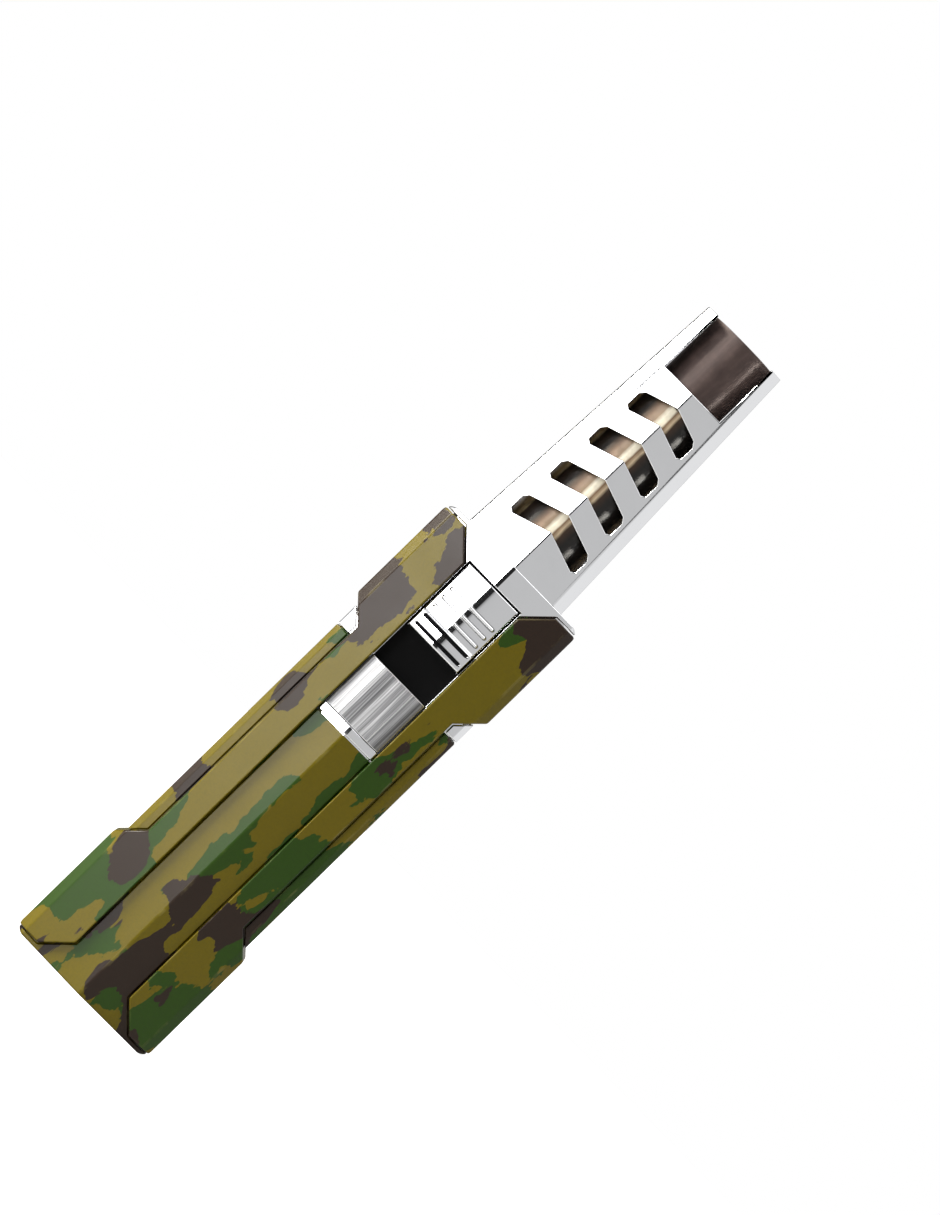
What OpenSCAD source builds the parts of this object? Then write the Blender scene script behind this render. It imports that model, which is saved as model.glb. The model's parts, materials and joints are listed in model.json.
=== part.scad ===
// Butane torch with side grips: a jet burner in a ridged shroud on a flat-sided handle.
// It stands upright on its base: Z runs along the torch, and the thumb slide faces -Y.
// Units are millimetres.

/* [Handle] */
// Height of the handle, from the base to the foot of the shroud
handle_h = 101.4; // [97:0.1:122]
// Half the depth of the body casing, at its front ridge
ridge_y = 12.2; // [11:0.1:15]
// Half the width of the body casing
side_x = 14; // [13:0.1:17]
// Slope of the front and back facets, in degrees
facet_angle = 14; // [8:0.5:17]
// Chamfer along the casing's long edges
casing_corner = 1; // [0.6:0.1:1.6]
// Wall of the body casing and of the upper chassis
wall = 1.3; // [1:0.1:1.6]
// Radius of the handle's bottom corners, seen from the front
foot_r = 1.9; // [1:0.1:3]
// Thickness of the lips that stand out below and above the grips
lip_h = 0.8; // [0.6:0.1:1.2]

/* [Grips] */
// Thickness of a grip over the front facets
grip_front_t = 1.1; // [0.8:0.1:1.6]
// Thickness of a grip over the sides
grip_side_t = 1.4; // [1:0.1:2]
// Chamfer along a grip's long outer edges
grip_corner = 1.6; // [1:0.1:2.2]
// Distance from the ridge to the inner edge of a grip
grip_in_x = 6.4; // [6:0.1:7.5]
// Distance from the ridge to a grip's edge at the waist
grip_waist_x = 11.3; // [10.5:0.1:12]
// Height at which the lower ear ends
ear_low_z = 23.1; // [18:0.1:28]
// Height at which the upper ear starts
ear_high_z = 79.9; // [76:0.1:84]
// Size of the 45 degree cut on a grip's four inner corners
grip_cut = 4.5; // [3:0.1:5]
// Seam left open round each grip and between the casing and the chassis
seam = 0.3; // [0.2:0.01:0.4]
// Depth of the recess that a grip is set into
inlay = 0.4; // [0.2:0.05:0.5]
// Radius of the moulded pegs that hold a grip
peg_r = 1.2; // [1:0.1:1.5]

/* [Chassis and slide] */
// Height of the casing's upper edge at the sides
casing_top_z = 73.7; // [70:0.1:75]
// Height of the casing's front bar
bar_top_z = 61.5; // [60:0.1:64]
// Length of the brushed front plate
plate_h = 11.1; // [9:0.1:12]
// Thickness of the brushed front plate
plate_t = 0.8; // [0.6:0.1:1]
// Length of the slot that the thumb slide runs in
slot_h = 22.3; // [21:0.1:24]
// Half the width of the slot
slot_x = 6.1; // [5.6:0.1:6.2]
// Length of the thumb slide
slide_h = 14.6; // [13:0.1:15]
// Travel of the thumb slide
slide_travel = 6; // [5:0.1:6.5]
// Gap between the thumb slide and the slot's edges
slide_gap = 0.3; // [0.25:0.01:0.4]
// Thickness of the carrier behind the slide
carrier_t = 1.4; // [1.2:0.1:1.8]
// Number of fine ribs on the thumb slide
rib_n = 3; // [1:1:4]
// Spacing of the ribs
rib_pitch = 1.93; // [1.6:0.01:2.2]

/* [Shroud] */
// Length of the shroud
shroud_h = 53.6; // [46:0.1:65]
// Half the width of the shroud at its root
shroud_root_x = 10.95; // [10:0.05:11.5]
// Half the width of the shroud at its tip
shroud_tip_x = 8.55; // [8.2:0.05:9.5]
// Half the depth of the shroud at its root
shroud_root_y = 9.8; // [9.4:0.1:10.5]
// Half the depth of the shroud at its tip
shroud_tip_y = 8.5; // [8.2:0.1:9.5]
// Wall of the shroud
shroud_wall = 1.3; // [1:0.1:1.5]
// Chamfer along the shroud's long edges
shroud_corner = 2; // [1.5:0.1:2.5]
// Height of the window at the tip
window_h = 12.3; // [8:0.1:13]
// Half the width of the window at the tip
window_x = 6.35; // [5.5:0.05:6.4]
// Number of chevron vents
vent_n = 4; // [1:1:4]
// Spacing of the vents
vent_pitch = 8.47; // [7.5:0.01:9]
// Height of a vent at the ridge
vent_h = 4; // [3:0.1:4.5]
// Distance from the tip down to the top of the highest vent
vent_drop = 15.8; // [15:0.1:18]
// Sweep of the vents' arms, in degrees
vent_sweep = 18; // [0:1:25]
// Half the width of the highest vent
vent_tip_x = 6.35; // [5:0.05:6.5]
// Growth of each vent's half width over the one above it
vent_grow = 0.42; // [0:0.01:0.45]

/* [Burner] */
// Outer radius of the flame guard
guard_r = 6.5; // [6:0.1:6.6]
// Wall of the flame guard
guard_wall = 0.7; // [0.5:0.1:0.9]
// Length of the flame guard
guard_h = 16; // [14:0.1:20]
// Outer radius of the burner tube
tube_r = 4.2; // [3.5:0.1:4.2]
// Wall of the burner tube
tube_wall = 0.8; // [0.6:0.1:1]
// Diameter of the small flame ports in the burner disc
port_d = 0.8; // [0.6:0.1:0.9]
// Radius of the ceramic insulator
ceramic_r = 0.75; // [0.65:0.05:0.78]

/* [Gas] */
// Height of the fuel tank, without its lid
tank_h = 50.5; // [45:0.1:52]
// Wall of the fuel tank
tank_wall = 1.2; // [1:0.1:1.6]
// Sideways distance of the refill valve and the flame adjuster from the centre
port_x = 5.6; // [5.2:0.1:6]
// Distance of the refill valve and the flame adjuster behind the centre
port_y = 2; // [1.5:0.1:2.5]
// Radius of the refill valve's mouth
mouth_r = 2.1; // [1.9:0.05:2.2]
// Radius of the flame adjuster's knob
knob_r = 3.4; // [3:0.1:3.8]
// Travel of the gas release valve
valve_travel = 1.2; // [0.8:0.1:1.4]
// Travel of the refill valve
refill_travel = 1.2; // [0.8:0.1:1.5]

/* [Igniter] */
// Width of the piezo igniter's case
piezo_w = 8; // [7:0.1:8.5]
// Depth of the piezo igniter's case
piezo_d = 6.4; // [6:0.1:6.8]
// Height of the piezo igniter's case
piezo_h = 20; // [19:0.1:21]

/* [Hidden] */
$fn = 48;

fit_gap = 0.1;          // slip fit between pieces of one body
run_gap = 0.06;         // running fit of a stem, pin or shaft
move_gap = 0.4;         // air between pieces of different bodies
big = 60;               // larger than any section, for cutting tools
eps = 0.01;             // overshoot of a cut past a face
t_facet = tan(facet_angle);

// Heights worked out from the handle's bottom and top
grip_low_z = lip_h + seam;
grip_high_z = handle_h - lip_h - seam;
slot_low_z = casing_top_z + lip_h;
slot_high_z = slot_low_z + slot_h;
slide_high_z = slot_high_z - slide_gap;
slide_low_z = slide_high_z - slide_h;
plate_high_z = slot_low_z - eps;
plate_low_z = plate_high_z - plate_h;
deck_t = 3;
deck_z = handle_h - deck_t;
skirt_low_z = 59;
tip_z = handle_h + shroud_h;

// Depths, counted from the centre towards the front
carrier_front_y = ridge_y - 4;
carrier_back_y = carrier_front_y - carrier_t;
pocket_y = carrier_front_y + slide_gap;
carrier_x = slot_x + 0.9;

// Gas train
base_in_z = 0.6;
base_t = 2.4;
tank_z = base_in_z + base_t;
lid_z = tank_z + tank_h;
lid_t = 2.5;
lid_top_z = lid_z + lid_t;
valve_x = port_x;
valve_y = port_y;
valve_foot_h = 8;
valve_h = 8;
valve_top_z = lid_top_z + valve_h;
stem_r = 1;
jet_z = deck_z - 3;
refill_h = refill_travel + 7.8;
refill_mouth_h = 2;
gland_r = 2.6;

// Igniter
piezo_x = -5;
piezo_y = -1.2;
piezo_z = lid_top_z;
piezo_top_z = piezo_z + piezo_h;
plunger_w = piezo_w - 2.4;
plunger_d = piezo_d - 2.4;
arm_z = piezo_top_z + slide_travel + 2;
arm_t = 3;

// Lever: a bell crank on a pin across X, beside the release valve
lever_turn = 15;
lever_reach = valve_travel / sin(lever_turn);
lever_pin_y = valve_y - lever_reach;
lever_pin_z = valve_top_z + 7.6;
lever_pin_r = 0.8;
lever_w = 4.4;
lever_tail = 6.2;
lever_nose = 3.2;
lever_t = 1.2;
bracket_gap = 0.4;
bracket_t = 1;
ramp_low_y = lever_pin_y - lever_nose - 0.35;
ramp_rise = lever_tail * sin(lever_turn) + lever_nose * (1 - cos(lever_turn));
finger_low_z = lever_pin_z - lever_tail + lever_t / 2 + 0.3;

// Thumb slide and its screws
slide_x = slot_x - slide_gap;
slide_screw_x = 2.4;

// Screws of the shroud and the base
screw_x = 8;
screw_r = 0.95;
screw_head_r = 1.8;
screw_boss_h = 5;
base_screw_y = 7.2;

// Burner train
burner_thread_r = 4;
lead_y = tube_r + fit_gap / 2 + ceramic_r;
lead_r = 0.6;
guard_low_z = tip_z - guard_h;
guard_floor = 1.5;
disc_t = 2;
disc_z = guard_low_z + guard_floor + 3.5;

// Valve, hose and tank details
valve_r = 2.6;
stem_top_z = lever_pin_z + 5;
seal_h = 0.8;
hose_r = 1.5;
hose_low_z = stem_top_z - 1.5;
hose_high_z = jet_z + 1.3;
tank_inset = wall + 2 * fit_gap;
tank_floor = 2;
gasket_t = 0.6;
shaft_r = 1.1;
shaft_top_z = lid_z - valve_foot_h - 0.5;
needle_r = 0.45;
refill_stem_r = 0.9;

// Igniter details
piezo_back_y = piezo_y + piezo_d / 2;
plunger_top_z = arm_z - 0.3;
plunger_low_z = piezo_z + 5 + 3 + slide_travel + 2.5;
crystal_h = 5;
hammer_h = 3;
hammer_z = piezo_z + 2 + crystal_h + 1.6;

function facet_y(x, ridge) = ridge - abs(x) * t_facet;

// Outline across the handle: a ridge front and back, facets, chamfers and flat sides
function handle_outline(front_t, side_t, corner) =
    let (ridge = ridge_y + front_t / cos(facet_angle),
         side = side_x + side_t,
         cx = side - corner,
         cy = facet_y(cx, ridge),
         sy = cy - corner)
    [[0, -ridge], [cx, -cy], [side, -sy], [side, sy], [cx, cy],
     [0, ridge], [-cx, cy], [-side, sy], [-side, -sy], [-cx, -cy]];

module handle_prism(z0, z1, front_t, side_t, corner) {
    translate([0, 0, z0])
        linear_extrude(z1 - z0)
            polygon(handle_outline(front_t, side_t, corner));
}

// Extrudes an outline drawn in X and Z through the whole depth
module through_y(depth = big) {
    translate([0, depth / 2, 0])
        rotate([90, 0, 0])
            linear_extrude(depth)
                children();
}

// Keeps the side of the given depth that faces the front
module front_of(y) {
    translate([-big / 2, -big - y, -big])
        cube([big, big, 5 * big]);
}

// The handle seen from the front, with rounded lower and upper corners
module handle_silhouette() {
    side = side_x + grip_side_t;
    intersection() {
        translate([-side, 0])
            square([2 * side, handle_h]);
        union() {
            translate([-side, foot_r])
                square([2 * side, handle_h - 2 * foot_r]);
            translate([-side + foot_r, 0])
                square([2 * (side - foot_r), handle_h]);
            for (x = [-1, 1], z = [foot_r, handle_h - foot_r])
                translate([x * (side - foot_r), z])
                    circle(foot_r);
        }
    }
}

// One grip seen from the front, on the +X side, grown all round by a gap
module grip_outline(gap) {
    outer = side_x + grip_side_t;
    in_x = grip_in_x - gap;
    waist_x = grip_waist_x + gap;
    low_z = grip_low_z - gap;
    high_z = grip_high_z + gap;
    cut = grip_cut + gap * (2 - sqrt(2));
    ear_low = ear_low_z + gap * sqrt(2);
    ear_high = ear_high_z - gap * sqrt(2);
    polygon([
        [in_x, low_z + cut],
        [in_x + cut, low_z],
        [outer, low_z],
        [outer, ear_low],
        [waist_x, ear_low + outer - waist_x],
        [waist_x, ear_high - outer + waist_x],
        [outer, ear_high],
        [outer, high_z],
        [in_x + cut, high_z],
        [in_x, high_z - cut]]);
}

// Shallow recess under one grip, with the seam round it
module grip_bed() {
    difference() {
        intersection() {
            handle_prism(lip_h, handle_h - lip_h, grip_front_t, grip_side_t, grip_corner);
            through_y()
                grip_outline(seam);
        }
        handle_prism(-1, handle_h + 1, -inlay, -inlay, casing_corner);
    }
}

module grip_beds() {
    grip_bed();
    mirror([1, 0, 0])
        grip_bed();
}

module grip_pegs(r, reach) {
    for (z = [0.5 * ear_low_z + 1, 0.5 * (ear_high_z + grip_high_z)], y = [-4, 4])
        translate([side_x - reach, y, z])
            rotate([0, 90, 0])
                cylinder(r = r, h = reach + 0.5);
}

module grip() {
    intersection() {
        union() {
            difference() {
                intersection() {
                    handle_prism(grip_low_z, grip_high_z, grip_front_t, grip_side_t, grip_corner);
                    through_y()
                        grip_outline(0);
                }
                handle_prism(-1, handle_h + 1, -inlay, -inlay, casing_corner);
            }
            grip_pegs(peg_r, wall - fit_gap);
        }
        through_y() handle_silhouette();
    }
}

module right_grip() {
    color("olivedrab") grip();
}

module left_grip() {
    color("olivedrab") mirror([1, 0, 0]) grip();
}

module peg_holes() {
    for (s = [0, 1])
        mirror([s, 0, 0])
            grip_pegs(peg_r + fit_gap / 2, wall + 1);
}

// Camouflaged casing: a sleeve with a notch in front for the chassis, and a lip at its foot
module body_casing() {
    color("darkolivegreen")
        difference() {
            intersection() {
                union() {
                    handle_prism(0, casing_top_z, 0, 0, casing_corner);
                    handle_prism(0, lip_h, 0, grip_side_t, grip_corner);
                }
                through_y() handle_silhouette();
            }
            handle_prism(-1, casing_top_z + 1, -wall, -wall, casing_corner);
            translate([-grip_in_x, -big, bar_top_z])
                cube([2 * grip_in_x, big, big]);
            grip_beds();
            peg_holes();
        }
}

module slot_cut() {
    translate([-slot_x, -big, slot_low_z])
        cube([2 * slot_x, big - carrier_back_y, slot_h]);
}

module deck_holes() {
    translate([0, 0, deck_z - 1])
        cylinder(r = burner_thread_r + fit_gap / 2, h = deck_t + 2);
    for (x = [-screw_x, screw_x])
        translate([x, 0, deck_z - 1])
            cylinder(r = screw_r + fit_gap, h = deck_t + 2);
    translate([0, lead_y, deck_z - 1])
        cylinder(r = 1.2, h = deck_t + 2);
}

// Chromed chassis: the neck that plugs into the casing, the slot and the deck under the shroud
module upper_chassis() {
    skirt = wall + fit_gap;
    ledge = 0.5;
    color("gainsboro")
        difference() {
            union() {
                intersection() {
                    union() {
                        handle_prism(casing_top_z, handle_h, -ledge, -ledge, casing_corner);
                        handle_prism(casing_top_z + seam, handle_h, 0, 0, casing_corner);
                        handle_prism(handle_h - lip_h, handle_h, 0, grip_side_t, grip_corner);
                    }
                    through_y() handle_silhouette();
                }
                handle_prism(skirt_low_z, casing_top_z + 1, -skirt, -skirt, casing_corner);
                intersection() {
                    handle_prism(bar_top_z + seam, casing_top_z + 1, 0, 0, casing_corner);
                    translate([-grip_in_x + fit_gap, -big, 0])
                        cube([2 * (grip_in_x - fit_gap), big, big * 2]);
                }
            }
            intersection() {
                handle_prism(skirt_low_z - 1, deck_z, -skirt - 1.2, -skirt - 1.2, casing_corner);
                translate([-big / 2, -pocket_y, 0])
                    cube([big, big, 2 * big]);
            }
            translate([-carrier_x - move_gap, -pocket_y, skirt_low_z - 1])
                cube([2 * (carrier_x + move_gap), pocket_y, deck_z - skirt_low_z + 1]);
            slot_cut();
            plate_recess();
            grip_beds();
            deck_holes();
            peg_holes();
        }
}

// Room for the brushed plate in the chassis's front
module plate_recess() {
    half = grip_in_x - fit_gap + eps;
    translate([-half, -big, plate_low_z])
        cube([2 * half, big - ridge_y + plate_t + grip_in_x * t_facet, plate_h + 2 * eps]);
}

// Brushed plate below the slot, with two long creases
module front_plate() {
    crease_x = 3.4;
    back_y = ridge_y - plate_t - grip_in_x * t_facet;
    half = grip_in_x - seam - fit_gap;
    face_y = ridge_y - 0.5;
    edge_y = facet_y(half, ridge_y);
    color("silver")
        translate([0, 0, plate_low_z + fit_gap])
            linear_extrude(plate_high_z - plate_low_z - fit_gap)
                polygon([[-half, -back_y], [-half, -edge_y], [-crease_x, -face_y],
                    [crease_x, -face_y], [half, -edge_y], [half, -back_y]]);
}

// Shroud
function shroud_outline(x, y, inset) =
    let (side = x - inset,
         ridge = y - inset / cos(facet_angle),
         corner = shroud_corner - inset * 0.4,
         cx = side - corner,
         cy = facet_y(cx, ridge),
         sy = cy - corner)
    [[0, -ridge], [cx, -cy], [side, -sy], [side, sy], [cx, cy],
     [0, ridge], [-cx, cy], [-side, sy], [-side, -sy], [-cx, -cy]];

// Radius of the round space inside the shroud's facets at a height
function shroud_clear_r(z) =
    let (share = (z - handle_h) / shroud_h,
         ridge = shroud_root_y + (shroud_tip_y - shroud_root_y) * share)
    ridge * cos(facet_angle) - shroud_wall - 0.45;

module shroud_body(inset, over) {
    slice = 0.01;
    hull() {
        translate([0, 0, handle_h - over])
            linear_extrude(slice)
                polygon(shroud_outline(shroud_root_x, shroud_root_y, inset));
        translate([0, 0, tip_z - slice + over])
            linear_extrude(slice)
                polygon(shroud_outline(shroud_tip_x, shroud_tip_y, inset));
    }
}

// One chevron vent, its apex at the origin, cut through front and back
module vent_outline(half) {
    fall = half * tan(vent_sweep);
    snip = 0.7;
    for (s = [-1, 1])
        polygon([[0, 0], [s * (half - snip), -fall + snip * tan(vent_sweep)], [s * half, -fall - snip],
            [s * half, -fall - vent_h + snip], [s * (half - snip), -fall - vent_h + snip * tan(vent_sweep)],
            [0, -vent_h]]);
}

module nozzle_shroud() {
    color("gainsboro")
        difference() {
            union() {
                difference() {
                    shroud_body(0, 0);
                    shroud_body(shroud_wall, 1);
                }
                for (x = [-screw_x, screw_x])
                    translate([x, 0, handle_h])
                        cylinder(r = screw_r + 0.9, h = screw_boss_h);
            }
            translate([-window_x, -big / 2, tip_z - window_h])
                cube([2 * window_x, big, window_h + 1]);
            for (i = [0 : vent_n - 1])
                translate([0, 0, tip_z - vent_drop - i * vent_pitch])
                    through_y()
                        vent_outline(vent_tip_x + i * vent_grow);
            for (x = [-screw_x, screw_x])
                translate([x, 0, handle_h - 1])
                    cylinder(r = screw_r + fit_gap / 2, h = screw_boss_h);
        }
}

module screw(r, h, head_r, head_h) {
    difference() {
        union() {
            translate([0, 0, -eps])
                cylinder(r = r, h = h + eps);
            translate([0, 0, -head_h])
                cylinder(r = head_r, h = head_h);
        }
        for (a = [0, 90])
            rotate(a)
                translate([-head_r * 0.6, -0.18, -head_h - 1])
                    cube([head_r * 1.2, 0.36, 1.6]);
    }
}

// Two screws driven up through the deck into the shroud's bosses
module shroud_screws() {
    color("dimgray")
        for (x = [-screw_x, screw_x])
            translate([x, 0, deck_z])
                screw(screw_r, deck_t + screw_boss_h - 2, screw_head_r, 1.3);
}

// Burner

module flame_guard() {
    color("saddlebrown")
        translate([0, 0, guard_low_z])
            difference() {
                cylinder(r = guard_r, h = guard_h - fit_gap);
                translate([0, 0, guard_floor])
                    cylinder(r = guard_r - guard_wall, h = guard_h);
                translate([0, 0, -1])
                    cylinder(r = tube_r + fit_gap / 2, h = guard_floor + 2);
                translate([0, lead_y, -1])
                    cylinder(r = ceramic_r + fit_gap / 2, h = guard_floor + 2);
            }
}

// Conical cup round the burner tube that shows through the vents
module heat_shield() {
    low = handle_h + screw_boss_h + 0.6;
    t = 0.4;
    color("darkgoldenrod")
        difference() {
            translate([0, 0, low])
                cylinder(r1 = shroud_clear_r(low), r2 = shroud_clear_r(guard_low_z), h = guard_low_z - low);
            translate([0, 0, low])
                cylinder(r1 = shroud_clear_r(low) - t, r2 = shroud_clear_r(guard_low_z) - t,
                    h = guard_low_z - low - 0.6);
            translate([0, 0, low - 1])
                cylinder(r = shroud_clear_r(low) - t - 0.05, h = 1 + eps);
            cylinder(r = tube_r + fit_gap / 2, h = tip_z);
            translate([0, lead_y, 0])
                cylinder(r = ceramic_r + fit_gap / 2, h = tip_z);
        }
}

module burner_tube() {
    low = handle_h + 1.5;
    color("goldenrod")
        difference() {
            union() {
                translate([0, 0, low])
                    cylinder(r = tube_r, h = guard_low_z + guard_floor - low);
                translate([0, 0, guard_low_z - 1])
                    cylinder(r = tube_r, h = 1);
            }
            translate([0, 0, low - 1])
                cylinder(r = tube_r - tube_wall, h = guard_low_z + guard_floor - low + 2);
            for (a = [0, 90])
                rotate(a)
                    translate([-tube_r - 1, 0, low + 3.5])
                        rotate([0, 90, 0])
                            cylinder(r = 1.1, h = 2 * tube_r + 2);
        }
}

// Perforated disc that holds the flame, resting on the guard's floor by a short collar
module burner_disc() {
    r = guard_r - guard_wall - fit_gap;
    low = guard_low_z + guard_floor;
    color("peru")
        difference() {
            union() {
                translate([0, 0, disc_z])
                    cylinder(r = r, h = disc_t);
                translate([0, 0, low])
                    cylinder(r = tube_r, h = disc_z - low + eps);
            }
            translate([0, 0, low - 1])
                cylinder(r = tube_r - tube_wall, h = disc_z - low + 1);
            translate([0, 0, disc_z - 1])
                cylinder(r = 1, h = disc_t + 2);
            for (a = [0 : 45 : 315])
                rotate(a)
                    translate([2.3, 0, disc_z - 1])
                        cylinder(d = port_d, h = disc_t + 2);
            translate([0, lead_y, disc_z - 1])
                cylinder(r = ceramic_r + fit_gap / 2, h = disc_t + 2);
        }
}

// Brass fitting screwed through the deck, holding the jet below and the burner tube above
module burner_base() {
    bore_r = 1.6;
    color("darkgoldenrod")
        difference() {
            union() {
                translate([0, 0, deck_z - 1.5])
                    cylinder(r = burner_thread_r + 1, h = 1.5, $fn = 6);
                translate([0, 0, deck_z - eps])
                    cylinder(r = burner_thread_r, h = deck_t + 1.5 + eps);
                translate([0, 0, handle_h + 1.5 - eps])
                    cylinder(r = tube_r - tube_wall - fit_gap / 2, h = 2);
            }
            translate([0, 0, deck_z - 2])
                cylinder(r = bore_r, h = 12);
            translate([0, lead_y, deck_z - 2])
                cylinder(r = 1.2, h = 12);
        }
}

module gas_jet() {
    color("gold")
        translate([0, 0, jet_z])
            difference() {
                union() {
                    cylinder(r = 0.9, h = 2);
                    translate([0, 0, 1.5])
                        cylinder(r = 1.55, h = 5.5);
                }
                translate([0, 0, -1])
                    cylinder(r = 0.4, h = 7);
                translate([0, 0, 5])
                    cylinder(r = 0.15, h = 4, $fn = 24);
            }
}

// Hose from the release valve up to the jet, leaning across the chassis

function hose_at(t) = [
    valve_x * (1 - smooth(t)),
    valve_y * (1 - smooth(t)),
    hose_low_z + (hose_high_z - hose_low_z) * t];
function smooth(t) = t * t * (3 - 2 * t);

module sweep_tube(points, r, sides) {
    n = len(points);
    rings = [for (i = [0 : n - 1])
        let (ahead = points[min(i + 1, n - 1)] - points[max(i - 1, 0)],
             dir = ahead / norm(ahead),
             u0 = cross(dir, [0.3, 1, 0.1]),
             u = u0 / norm(u0),
             v = cross(dir, u))
        for (k = [0 : sides - 1])
            points[i] + r * (cos(360 * k / sides) * u + sin(360 * k / sides) * v)];
    skin = [for (i = [0 : n - 2], k = [0 : sides - 1])
        let (a = i * sides + k, b = i * sides + (k + 1) % sides)
        for (corners = [[a, b + sides, b], [a, a + sides, b + sides]])
            corners];
    polyhedron(rings, concat([[for (k = [0 : sides - 1]) k]], skin,
        [[for (k = [sides - 1 : -1 : 0]) (n - 1) * sides + k]]), convexity = 4);
}

module gas_hose() {
    steps = 14;
    color("black")
        difference() {
            sweep_tube([for (i = [0 : steps]) hose_at(i / steps)], hose_r, 16);
            translate([0, 0, hose_high_z - 1.5])
                cylinder(r = 0.9 + eps, h = 3);
            translate([valve_x, valve_y, hose_low_z - 1])
                cylinder(r = stem_r + eps, h = 2.5);
        }
}

// Spark electrode: a wire up the insulator that bends over the burner disc
module electrode() {
    wire_r = 0.35;
    top = disc_z + disc_t + 3;
    color("lightgray")
        union() {
            translate([0, lead_y, handle_h + 2])
                cylinder(r = wire_r, h = top - handle_h - 2, $fn = 24);
            translate([0, lead_y, top])
                sphere(r = wire_r + 0.1, $fn = 24);
            translate([0, lead_y, top])
                rotate([65, 0, 0])
                    cylinder(r = wire_r, h = 2.4, $fn = 24);
        }
}

module ceramic_insulator() {
    low = handle_h + 3;
    color("ivory")
        translate([0, lead_y, low])
            difference() {
                cylinder(r = ceramic_r, h = disc_z + disc_t + 1 - low, $fn = 32);
                translate([0, 0, -1])
                    cylinder(r = 0.35 + eps, h = 80, $fn = 24);
            }
}

// High-voltage lead from the piezo contact up through the deck to the electrode

module ignition_lead() {
    start = [piezo_x, piezo_back_y + 1.2, piezo_z + 1];
    mid_z = piezo_top_z + 4;
    lead_pts = [
        start + [0, 0, 0.9],
        start + [0, 0, 1.7],
        start + [0, 0.8, 4.6],
        [piezo_x + 0.4, piezo_back_y + 1.9, piezo_z + 12],
        [piezo_x + 1.6, lead_y + 0.6, mid_z - 4],
        [-2.2, lead_y + 0.6, mid_z + 4],
        [-0.8, lead_y + 0.3, deck_z - 4],
        [0, lead_y, deck_z - 1],
        [0, lead_y, handle_h + 1.96]];
    color("red")
        sweep_tube([for (i = [0 : len(lead_pts) - 2], f = [0 : 0.25 : 0.99])
            curve_at(lead_pts, i, f), lead_pts[len(lead_pts) - 1]], lead_r, 8);
}

function curve_at(p, i, f) =
    let (a = p[max(i - 1, 0)], b = p[i], c = p[i + 1], d = p[min(i + 2, len(p) - 1)])
    b + 0.5 * f * ((c - a) + f * ((2 * a - 5 * b + 4 * c - d) + f * (3 * (b - c) + d - a)));

// Thumb slide

module slide_front(lift, half, z0, h) {
    translate([0, 0, z0])
        linear_extrude(h)
            polygon([[0, -ridge_y - lift], [half, -facet_y(half, ridge_y) - lift],
                [half, -carrier_front_y], [-half, -carrier_front_y],
                [-half, -facet_y(half, ridge_y) - lift]]);
}

module thumb_slide() {
    rib_half = slide_x - 1;
    catch_h = 4.3;
    groove_h = 0.5;
    color("gainsboro")
        difference() {
            union() {
                slide_front(0, slide_x, slide_low_z, slide_h);
                for (i = [0 : rib_n - 1])
                    slide_front(0.35, rib_half, slide_high_z - 5.1 - 0.3 - i * rib_pitch, 0.6);
                hull() {
                    slide_front(0.9, slide_x, slide_low_z + 0.5, catch_h - 1);
                    slide_front(0, slide_x, slide_low_z, catch_h);
                }
            }
            for (z = [1.2, 3.1])
                intersection() {
                    slide_front(1, rib_half, slide_low_z + z, groove_h);
                    front_of(facet_y(rib_half, ridge_y) + 0.4);
                }
            for (x = [-slide_screw_x, slide_screw_x])
                translate([x, 0, slide_low_z + slide_h / 2])
                    rotate([90, 0, 0])
                        cylinder(r = 0.7 + fit_gap / 2, h = carrier_front_y + 1.6);
        }
}

// Finger that reaches down from the carrier and wedges the lever's nose backwards
module lever_finger(top) {
    w = 1.2;
    ramp_h = slide_travel - 0.6;
    translate([valve_x - w / 2, 0, 0])
        rotate([90, 0, 90])
            linear_extrude(w)
                polygon([[-carrier_front_y, finger_low_z],
                    [ramp_low_y, finger_low_z],
                    [ramp_low_y + ramp_rise, finger_low_z + ramp_h],
                    [ramp_low_y + ramp_rise, finger_low_z + ramp_h + 2],
                    [-carrier_back_y, top + 1],
                    [-carrier_front_y, top + 1]]);
}

// Carrier behind the slide, with the arm that presses the plunger and the gas lever's ramp
module slide_carrier() {
    low = slot_low_z - 0.6;
    high = deck_z - move_gap;
    arm_back_y = piezo_y + plunger_d / 2;
    color("dimgray")
        difference() {
            union() {
                translate([-carrier_x, -carrier_front_y, low])
                    cube([2 * carrier_x, carrier_t, high - low]);
                translate([piezo_x - 2, -carrier_back_y - eps, arm_z])
                    cube([4, carrier_back_y + arm_back_y + eps, arm_t]);
                translate([piezo_x - 1, -carrier_back_y - eps, arm_z + arm_t - eps])
                    rotate([90, 0, 90])
                        linear_extrude(2)
                            polygon([[0, 0], [5, 0], [0, 4]]);
                lever_finger(low);
            }
            for (x = [-slide_screw_x, slide_screw_x])
                translate([x, 0, slide_low_z + slide_h / 2])
                    rotate([90, 0, 0])
                        cylinder(r = 0.7 + fit_gap, h = carrier_front_y + 1);
        }
}

module slide_screws() {
    color("silver")
        for (x = [-slide_screw_x, slide_screw_x])
            translate([x, -carrier_back_y, slide_low_z + slide_h / 2])
                rotate([90, 0, 0])
                    screw(0.7, carrier_t + 1.2, 1.4, 0.7);
}

// Piezo igniter

module block(x, y, z, w, d, h) {
    translate([x - w / 2, y - d / 2, z])
        cube([w, d, h]);
}

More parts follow.
